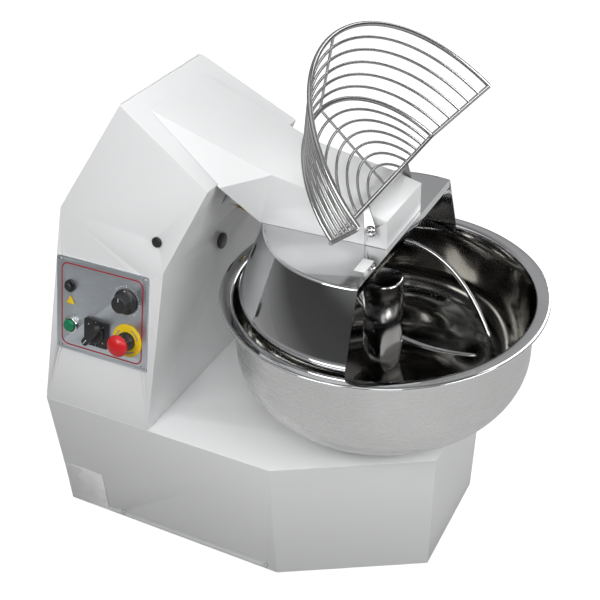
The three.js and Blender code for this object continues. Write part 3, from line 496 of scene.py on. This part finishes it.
# ---------- fixed guard ----------
def build_guard():
    low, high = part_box("guard")
    top = high.z / MM
    base = low.z / MM
    front = low.y / MM - BOWL_AT.translation.y / MM + 0.05
    sheet = 2
    cone_r = (high.x - low.x) / 2 / MM
    plate_r = cone_r - 46
    profile = fillet(
        [(plate_r - 6, top), (plate_r, top), (cone_r - 0.3, top - 112.5), (cone_r - 0.3, base)], [0, 5, 6, 0])
    inner = [(r - sheet, z - (sheet if k < 2 else sheet * 0.4)) for k, (r, z) in enumerate(profile)]
    inner[-1] = (inner[-1][0], base)

    def skirt(start, side):
        """The skirt on one side, from its rear end to the chord at the front."""
        steps = 44
        ring = profile + inner[::-1]
        verts, faces = [], []
        for k in range(steps + 1):
            for r, z in ring:
                end = math.pi + math.asin(-front / r) if side < 0 else -math.asin(-front / r)
                a = start + (end - start) * k / steps
                verts.append(Vector((r * math.cos(a), r * math.sin(a), z)) * MM)
        n = len(ring)
        for k in range(steps):
            a, b = k * n, (k + 1) * n
            faces += [(a + i, a + (i + 1) % n, b + (i + 1) % n, b + i) for i in range(n)]
        faces += [tuple(range(n)), tuple(range(steps * n, (steps + 1) * n))[::-1]]
        return verts, faces

    def plate():
        reach = plate_r - 2
        begin, end = -math.asin(-front / reach), math.pi + math.asin(-front / reach)
        outline = []
        for k in range(97):
            a = begin + (end - begin) * k / 96
            outline.append((reach * math.cos(a) * MM, min(reach * math.sin(a), 188) * MM))
        return slab(outline, (top - sheet) * MM, top * MM)

    def lip():
        """The plate's front edge, folded down."""
        section = fillet([(front + 5, top - 0.05), (front, top - 0.05), (front, top - 14)], [0, 3, 0])
        back = [(y + 1.6, z - (1.6 if z > top - 2 else 0)) for y, z in section][::-1]
        ring = section + back
        ends = (-194, 194)
        verts = [Vector((x, y, z)) * MM for x in ends for y, z in ring]
        n = len(ring)
        faces = [(i, (i + 1) % n, (i + 1) % n + n, i + n) for i in range(n)]
        faces += [tuple(range(n)), tuple(range(n, 2 * n))[::-1]]
        return verts, faces

    def flange(angle, turn):
        along = Vector((math.cos(angle), math.sin(angle), 0))
        normal = Vector((-along.y, along.x, 0)) * turn
        outline = [
            (plate_r - 3, top - 4), (cone_r - 2, top - 113), (cone_r - 2, base + 0.3),
            (plate_r - 26, base + 0.3), (plate_r - 26, top - 4),
        ]
        verts = []
        for depth in (0.3, 1.9):
            verts += [(along * r + normal * depth + Vector((0, 0, z))) * MM for r, z in outline]
        n = len(outline)
        faces = [tuple(range(n))[::-1], tuple(range(n, 2 * n))]
        faces += [(k, (k + 1) % n, (k + 1) % n + n, k + n) for k in range(n)]
        return verts, faces

    left, right = math.radians(111), math.radians(47)
    verts, faces = merge([skirt(left, -1), skirt(right, 1), plate(), lip(), flange(left, -1)])
    guard = make("fixed_guard", verts, faces, MAT["mirror"], "frame", "polished_stainless", BOWL_AT)
    sharpen(guard, 28)
    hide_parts("guard")


# ---------- wire guard ----------
def build_wire_guard():
    hinge = Vector(JOINTS["wire_guard_hinge"]["pos_m"])
    opened = math.radians(JOINTS["wire_guard_hinge"]["range_deg"][1])
    chord, level, edge_r, pitch = -47.5, 624, 205, 21
    slope, skirt = math.radians(57), 127
    thin, thick = 2.3, 3.9

    def arc(radius, z, rod):
        reach = math.asin(-chord / radius)
        steps = 24 + int(radius / 5)
        points = []
        for k in range(steps + 1):
            a = math.pi + reach + (math.pi - 2 * reach) * k / steps
            points.append(Vector((radius * math.cos(a), radius * math.sin(a), z)) * MM)
        return sweep(points, round_section(rod * MM))

    def straight(a, b, rod):
        return sweep([Vector(a) * MM, Vector(b) * MM], round_section(rod * MM, 14))

    def skirt_at(distance):
        return edge_r + distance * math.cos(slope), level - distance * math.sin(slope)

    parts = [arc(edge_r, level, thick)]
    parts += [arc(edge_r - pitch * k, level, thin) for k in range(1, 7)]
    parts += [arc(*skirt_at(pitch * k), thin) for k in range(1, 6)]
    rim_r, rim_z = skirt_at(skirt)
    parts.append(arc(rim_r, rim_z, thick))
    parts.append(straight((-edge_r, chord, level), (edge_r, chord, level), thick))
    lift = thin * 1.2
    parts.append(straight((0, chord, level + lift), (0, -edge_r, level + lift), thin))
    parts.append(straight((0, -edge_r - 1, level + lift), (0, -rim_r, rim_z + lift), thin))
    for side in (-1, 1):
        def end(radius):
            return side * math.sqrt(radius ** 2 - chord ** 2)
        parts.append(straight((end(edge_r), chord, level), (end(rim_r), chord, rim_z), thick))
        x0, x1 = sorted((side * 77.1, side * 79.9))
        outline = []
        hinge_y = (hinge.y - BOWL_AT.translation.y) / MM
        hinge_z = hinge.z / MM
        direction = math.atan2(level - hinge_z, chord - hinge_y)
        for centre_y, centre_z, r, start in ((hinge_y, hinge_z, 9.8, 0.25), (chord, level, 4.6, -0.25)):
            for k in range(17):
                a = direction + TURN * (start + k / 32)
                outline.append((centre_y + r * math.cos(a), centre_z + r * math.sin(a)))
        n = len(outline)
        verts = [Vector((x, y, z)) * MM for x in (x0, x1) for y, z in outline]
        faces = [tuple(range(n))[::-1], tuple(range(n, 2 * n))]
        faces += [(k, (k + 1) % n, (k + 1) % n + n, k + n) for k in range(n)]
        parts.append((verts, faces))
    verts, faces = merge(parts)
    about = Matrix.Translation(hinge) @ Matrix.Rotation(-opened, 4, "X") @ Matrix.Translation(-hinge)
    guard = make("hinged_wire_guard", verts, faces, MAT["wire"], "wire_guard_unit", "polished_stainless",
                 about @ BOWL_AT)
    sharpen(guard, 50)
    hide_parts("wire_guard")


# ---------- hinge bolts ----------
def build_bolts():
    for name, side in (("hinge_bolt_left", -1), ("hinge_bolt_right", 1)):
        low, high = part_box(name)
        outer = high.x if side > 0 else low.x
        centre = Vector((outer, (low.y + high.y) / 2, (low.z + high.z) / 2))
        profile = fillet(
            [(0, -5.2), (3.2, -5.2), (3.2, -0.3), (6, -1.2), (9.2, -4.4), (9.9, -6.6), (0, -6.6)],
            [0, 0, 0.6, 2, 2, 0.5, 0])
        verts, faces = lathe(profile, 40)
        at = Matrix.Translation(centre) @ Matrix.Rotation(side * TURN / 4, 4, "Y")
        head = make(name + "_head", verts, faces, MAT["chrome_trim"], "frame", "polished_stainless", at)
        sharpen(head, 40)
        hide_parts(name)


# ---------- control panel ----------
OUT = Vector(JOINTS["timer_turn"]["axis"]).normalized()
PANEL_X = Vector((0, -1, 0))
PANEL_Y = OUT.cross(PANEL_X)
PANEL_TOP = max((v.co.dot(OUT) for v in NODES["panel_plate"].data.vertices))
PANEL_LOW, PANEL_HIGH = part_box("panel_plate")
PANEL_CENTRE = (PANEL_LOW + PANEL_HIGH) / 2
PANEL_CENTRE += OUT * (PANEL_TOP - PANEL_CENTRE.dot(OUT))
PANEL_AXES = Matrix((PANEL_X, PANEL_Y, OUT)).transposed().to_4x4()
PANEL_AT = Matrix.Translation(PANEL_CENTRE) @ PANEL_AXES


def on_panel(node=None, joint=None):
    """The panel's frame moved to a node's or a joint's place on the plate's surface."""
    if joint:
        point = Vector(JOINTS[joint]["pos_m"])
    else:
        points = [v.co for v in NODES[node].data.vertices]
        reach = [p.dot(PANEL_X) for p in points], [p.dot(PANEL_Y) for p in points]
        x, y = ((min(r) + max(r)) / 2 for r in reach)
        point = PANEL_X * x + PANEL_Y * y
    point = point + OUT * (PANEL_TOP - point.dot(OUT))
    return Matrix.Translation(point) @ PANEL_AXES


def build_panel_print():
    outer = rounded_outline(0.172, 0.155, 0.014)
    inner = rounded_outline(0.1675, 0.1505, 0.012)
    verts, faces = frame_band(outer, inner, 0.00004, 0.0003)
    make("panel_red_line", verts, faces, MAT["red_print"], "frame", "panel_metal", PANEL_AT, flat=True)
    parts = []
    for k in range(25):
        a = math.radians(-140 + 280 * k / 24 + 90)
        long = k % 4 == 0
        r0, r1, half = 0.0258, 0.0300 if long else 0.0282, 0.00045 if long else 0.00028
        ray, side = Vector((math.cos(a), math.sin(a))), Vector((-math.sin(a), math.cos(a)))
        outline = [tuple(ray * r + side * h) for r, h in ((r0, -half), (r1, -half), (r1, half), (r0, half))]
        parts.append(slab(outline, 0.00005, 0.0004))
    verts, faces = merge(parts)
    at = on_panel(joint="timer_turn")
    make("timer_scale", verts, faces, MAT["white_print"], "frame", "panel_metal", at, flat=True)


def build_timer():
    profile = fillet(
        [(0, 1.8), (22.8, 1.8), (22.8, 4), (18.5, 5.6), (16.6, 9), (15.4, 22), (13.6, 23.7), (0, 23.7)],
        [0, 0.6, 1.5, 2, 3, 1.5, 3, 0])
    verts, faces = lathe(profile, 96)
    shaped = []
    for x, y, z in verts:
        r = math.hypot(x, y)
        if 0.012 < r < 0.0195 and z > 0.007:
            ripple = 1 - 0.035 * (0.5 + 0.5 * math.cos(24 * math.atan2(y, x)))
            x, y = x * ripple, y * ripple
        shaped.append((x, y, z))
    at = on_panel(joint="timer_turn")
    knob = make("timer_knob_cap", shaped, faces, MAT["black_plastic"], "timer_unit", "black_plastic", at)
    sharpen(knob, 45)
    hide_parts("timer_knob")
    mark = slab([(-0.0006, 0.006), (0.0006, 0.006), (0.0006, 0.0125), (-0.0006, 0.0125)], 0.0236, 0.0239)
    dot_r, dot_y = 0.0013, 0.0195
    angles = [TURN * k / 16 for k in range(16)]
    dot = slab([(dot_r * math.cos(a), dot_y + dot_r * math.sin(a)) for a in angles], 0.0040, 0.0056)
    verts, faces = merge([mark, dot])
    make("timer_pointer", verts, faces, MAT["white_print"], "timer_unit", "black_plastic", at, flat=True)


def build_buttons():
    at = on_panel("start_button")
    profile = fillet([(0, 4.1), (11.1, 4.1), (11.1, 9.4), (9.6, 10.8), (0, 10.9)], [0, 0.4, 1, 1.4, 0])
    cap = make(
        "start_button_cap", *lathe(profile, 64), MAT["green_plastic"], "start_unit", "green_plastic", at)
    sharpen(cap, 40)
    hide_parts("start_button")
    profile = fillet(
        [(11.7, 0.4), (15.9, 0.4), (15.8, 2.5), (14.2, 5.8), (12.4, 5.9), (11.7, 5), (11.7, 0.4)],
        [0, 0.3, 1, 1.5, 0.8, 0.8, 0])
    bezel = make("start_button_ring", *lathe(profile, 64), MAT["chrome_trim"], "frame", "chrome_trim", at)
    sharpen(bezel, 40)
    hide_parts("start_bezel")
    at = on_panel("black_button")
    profile = fillet([(0, 4.1), (7.1, 4.1), (7.1, 8), (5, 9.7), (0, 9.9)], [0, 0.4, 2, 3, 0])
    cap = make(
        "black_button_cap", *lathe(profile, 48), MAT["black_plastic"], "button_unit", "black_plastic", at)
    sharpen(cap, 45)
    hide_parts("black_button")


def build_stop():
    at = on_panel("stop_mushroom")
    # The stem fits inside the collar's bore, so the cap can travel without touching it.
    profile = fillet(
        [(0, 20.6), (8.1, 20.6), (8.2, 24.6), (17.5, 25.4), (19.9, 28.5), (19.4, 33.5), (14, 38.2),
         (6, 40.5), (0, 40.7)],
        [0, 0.8, 0.3, 3, 3.5, 4, 6, 4, 0])
    head = make("stop_mushroom_cap", *lathe(profile, 72), MAT["red_plastic"], "stop_unit", "red_plastic", at)
    sharpen(head, 45)
    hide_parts("stop_mushroom")
    profile = fillet([(8.6, 2.8), (16.9, 2.8), (16.9, 9), (14, 12), (13.2, 19.8), (8.6, 19.8), (8.6, 2.8)],
                     [0, 0.5, 2, 2, 1.2, 0.5, 0])
    collar = make(
        "stop_collar_turned", *lathe(profile, 56), MAT["black_plastic"], "frame", "black_plastic", at)
    sharpen(collar, 40)
    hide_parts("stop_collar")
    arrows = []
    for k in range(3):
        start = TURN * (k / 3 + 0.04)
        outline = []
        for radius, order in ((21.2, range(9)), (23.6, range(8, -1, -1))):
            for j in order:
                a = start + 0.95 * j / 8
                outline.append((radius * MM * math.cos(a), radius * MM * math.sin(a)))
        arrows.append(slab(outline, 0.00231, 0.00255))
    verts, faces = merge(arrows)
    make("stop_disc_print", verts, faces, MAT["grey_print"], "frame", "yellow_plastic", at, flat=True)


def build_selector():
    joint = "selector_turn"
    at = on_panel(joint=joint) @ Matrix.Rotation(math.radians(-39), 4, "Z")
    base = lathe(fillet([(0, 5.7), (17.8, 5.7), (17.6, 8.6), (16, 9.9), (0, 9.9)], [0, 0.4, 1, 1, 0]), 64)
    grip = slab([tuple(Vector(p)) for p in rounded_outline(0.0136, 0.0456, 0.0055)], 0.0095, 0.0238)
    verts, faces = merge([base, grip])
    handle = make("selector_grip", verts, faces, MAT["black_plastic"], "selector_unit", "black_plastic", at)
    sharpen(handle, 40, 0.9)
    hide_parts("selector_handle")
    line = slab([(-0.0006, -0.021), (0.0006, -0.021), (0.0006, -0.010), (-0.0006, -0.010)], 0.02385, 0.02398)
    make("selector_mark", *line, MAT["white_print"], "selector_unit", "black_plastic", at, flat=True)
    plate_at = on_panel(joint=joint)
    parts = []
    for angle in (-45, 0, 45, 135, 180, 225):
        a = math.radians(angle + 90)
        ray, side = Vector((math.cos(a), math.sin(a))), Vector((-math.sin(a), math.cos(a)))
        r0, r1, half = 0.0195, 0.0225, 0.00035
        outline = [tuple(ray * r + side * h) for r, h in ((r0, -half), (r1, -half), (r1, half), (r0, half))]
        parts.append(slab(outline, 0.0050, 0.0052))
    verts, faces = merge(parts)
    make("selector_scale", verts, faces, MAT["white_print"], "frame", "black_plastic", plate_at, flat=True)


build_bowl()
build_fork()
build_guard()
build_wire_guard()
build_bolts()
build_panel_print()
build_timer()
build_buttons()
build_stop()
build_selector()


# ---------- floor, light and camera ----------
def build_stage():
    size = 6.0
    mesh = bpy.data.meshes.new("floor")
    corners = [(-size, -size, 0), (size, -size, 0), (size, size, 0), (-size, size, 0)]
    mesh.from_pydata(corners, [], [(0, 1, 2, 3)])
    floor = bpy.data.objects.new("floor", mesh)
    bpy.context.scene.collection.objects.link(floor)
    mesh.materials.append(floor_material())


def floor_material():
    """Near white to the camera, pale grey in mirrors, and darker for the light that it throws back."""
    s = Shader("pale_floor", (0.35, 0.35, 0.35), 0.7, Emission_Color=(1, 1, 1, 1), Emission_Strength=0.9)
    s.tint_by(s.noise(2), 0.99, 1.0)
    shade = s.node("ShaderNodeBsdfDiffuse")
    mix, rays = s.node("ShaderNodeMixShader"), s.node("ShaderNodeLightPath")
    grey = s.node("ShaderNodeMapRange")
    grey.inputs["To Min"].default_value = 0.1
    grey.inputs["To Max"].default_value = 0.75
    s.link(rays, "Is Glossy Ray", grey, "Value")
    s.link(grey, "Result", shade, "Color")
    out = s.tree.nodes["Material Output"]
    s.tree.links.new(rays.outputs["Is Camera Ray"], mix.inputs[0])
    s.tree.links.new(shade.outputs[0], mix.inputs[1])
    s.tree.links.new(s.surface.outputs[0], mix.inputs[2])
    s.tree.links.new(mix.outputs[0], out.inputs["Surface"])
    return s.material


def build_world():
    """Plain white to the camera. Reflections see soft white panels with dark gaps between them."""
    world = bpy.data.worlds.new("studio")
    bpy.context.scene.world = world
    world.use_nodes = True
    tree = world.node_tree
    tree.nodes.clear()

    def new(kind):
        return tree.nodes.new(kind)

    out, mix = new("ShaderNodeOutputWorld"), new("ShaderNodeMixShader")
    plain, studio = new("ShaderNodeBackground"), new("ShaderNodeBackground")
    rays, coords = new("ShaderNodeLightPath"), new("ShaderNodeTexCoord")
    plain.inputs["Color"].default_value = (1, 1, 1, 1)
    plain.inputs["Strength"].default_value = 1.0
    split = new("ShaderNodeSeparateXYZ")
    ramp = new("ShaderNodeValToRGB")
    # Brightness from straight down (0) to straight up (1), with the horizon at 0.5.
    stops = [
        (0.0, 0.55), (0.46, 0.5), (0.52, 0.16), (0.60, 0.12),
        (0.68, 0.85), (0.82, 1.0), (0.90, 0.35), (1.0, 0.9),
    ]
    elements = ramp.color_ramp.elements
    while len(elements) < len(stops):
        elements.new(0.5)
    for element, (place, value) in zip(elements, stops):
        element.position = place
        element.color = (value, value, value * 1.01, 1)
    scale = new("ShaderNodeMath")
    scale.operation = "MULTIPLY_ADD"
    scale.inputs[1].default_value = 0.5
    scale.inputs[2].default_value = 0.5
    tree.links.new(coords.outputs["Generated"], split.inputs["Vector"])
    tree.links.new(split.outputs["Z"], scale.inputs[0])
    tree.links.new(scale.outputs[0], ramp.inputs["Fac"])
    tree.links.new(ramp.outputs["Color"], studio.inputs["Color"])
    studio.inputs["Strength"].default_value = 0.46
    tree.links.new(rays.outputs["Is Camera Ray"], mix.inputs[0])
    tree.links.new(studio.outputs[0], mix.inputs[1])
    tree.links.new(plain.outputs[0], mix.inputs[2])
    tree.links.new(mix.outputs[0], out.inputs["Surface"])


def area_light(name, place, target, size, power):
    data = bpy.data.lights.new(name, "AREA")
    data.shape = "RECTANGLE"
    data.size, data.size_y = size
    data.energy = power
    light = bpy.data.objects.new(name, data)
    bpy.context.scene.collection.objects.link(light)
    light.location = place
    light.rotation_euler = (Vector(target) - Vector(place)).to_track_quat("-Z", "Y").to_euler()


def build_camera():
    azimuth, elevation, roll = (math.radians(v) for v in (-61.69, 33.38, -2.21))
    right = Vector((math.cos(azimuth), math.sin(azimuth), 0))
    level = math.cos(elevation)
    back = Vector((math.sin(azimuth) * level, -math.cos(azimuth) * level, math.sin(elevation)))
    up = back.cross(right)
    x = right * math.cos(roll) + up * math.sin(roll)
    y = up * math.cos(roll) - right * math.sin(roll)
    data = bpy.data.cameras.new("camera")
    data.sensor_width = 36
    data.lens = 63.96
    camera = bpy.data.objects.new("camera", data)
    bpy.context.scene.collection.objects.link(camera)
    aim = BOWL_AT.translation + Vector((-0.2995, 0, 0.6505))
    distance = 1.5066
    turned = Matrix((x, y, back)).transposed().to_4x4()
    camera.matrix_world = Matrix.Translation(aim + back * distance) @ turned
    bpy.context.scene.camera = camera


build_stage()
build_world()
CENTRE = (0, 0, 0.45)
area_light("key", (-1.9, -1.1, 2.5), CENTRE, (0.8, 1.3), 13)
area_light("near_left", (-1.5, 0.3, 1.6), (0, 0, 0.6), (0.8, 0.8), 13)
area_light("front_fill", (-0.4, -2.6, 1.9), CENTRE, (1.6, 0.9), 36)
area_light("right_rim", (2.4, -0.6, 1.9), CENTRE, (0.5, 2.4), 14)
area_light("top", (-0.1, 0.5, 2.9), CENTRE, (2.0, 2.0), 8)
build_camera()
bpy.context.scene.view_settings.view_transform = "Standard"
